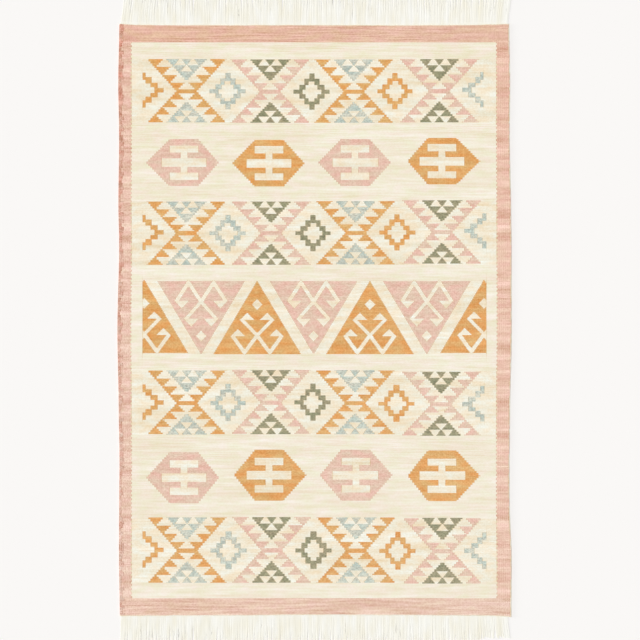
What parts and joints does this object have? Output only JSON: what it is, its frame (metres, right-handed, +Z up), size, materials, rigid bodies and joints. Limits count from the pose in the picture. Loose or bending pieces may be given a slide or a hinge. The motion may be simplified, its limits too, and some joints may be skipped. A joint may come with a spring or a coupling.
{
  "type": "kilim rug",
  "caption": "Rectangular flat-woven kilim rug that lies flat on a floor, with a cut fringe of warp ends along each short end.",
  "frame": {"origin": "on the floor, under the centre of the rug's bounding box", "axes": "+X across the rug's width, +Y along its length towards the far fringe, which is at the top of the picture, +Z up out of its face"},
  "size_m": [1.2076, 1.9949, 0.004],
  "materials": {
    "woven_wool": "matte weft-faced flat weave in cream, dusty pink, ochre, pale blue and grey-green wool",
    "fringe_cotton": "matte ivory cotton yarn"
  },
  "bodies": {
    "root": {"woven_cloth": "woven_wool", "fringe_far": "fringe_cotton", "fringe_near": "fringe_cotton"}
  },
  "joints": []
}
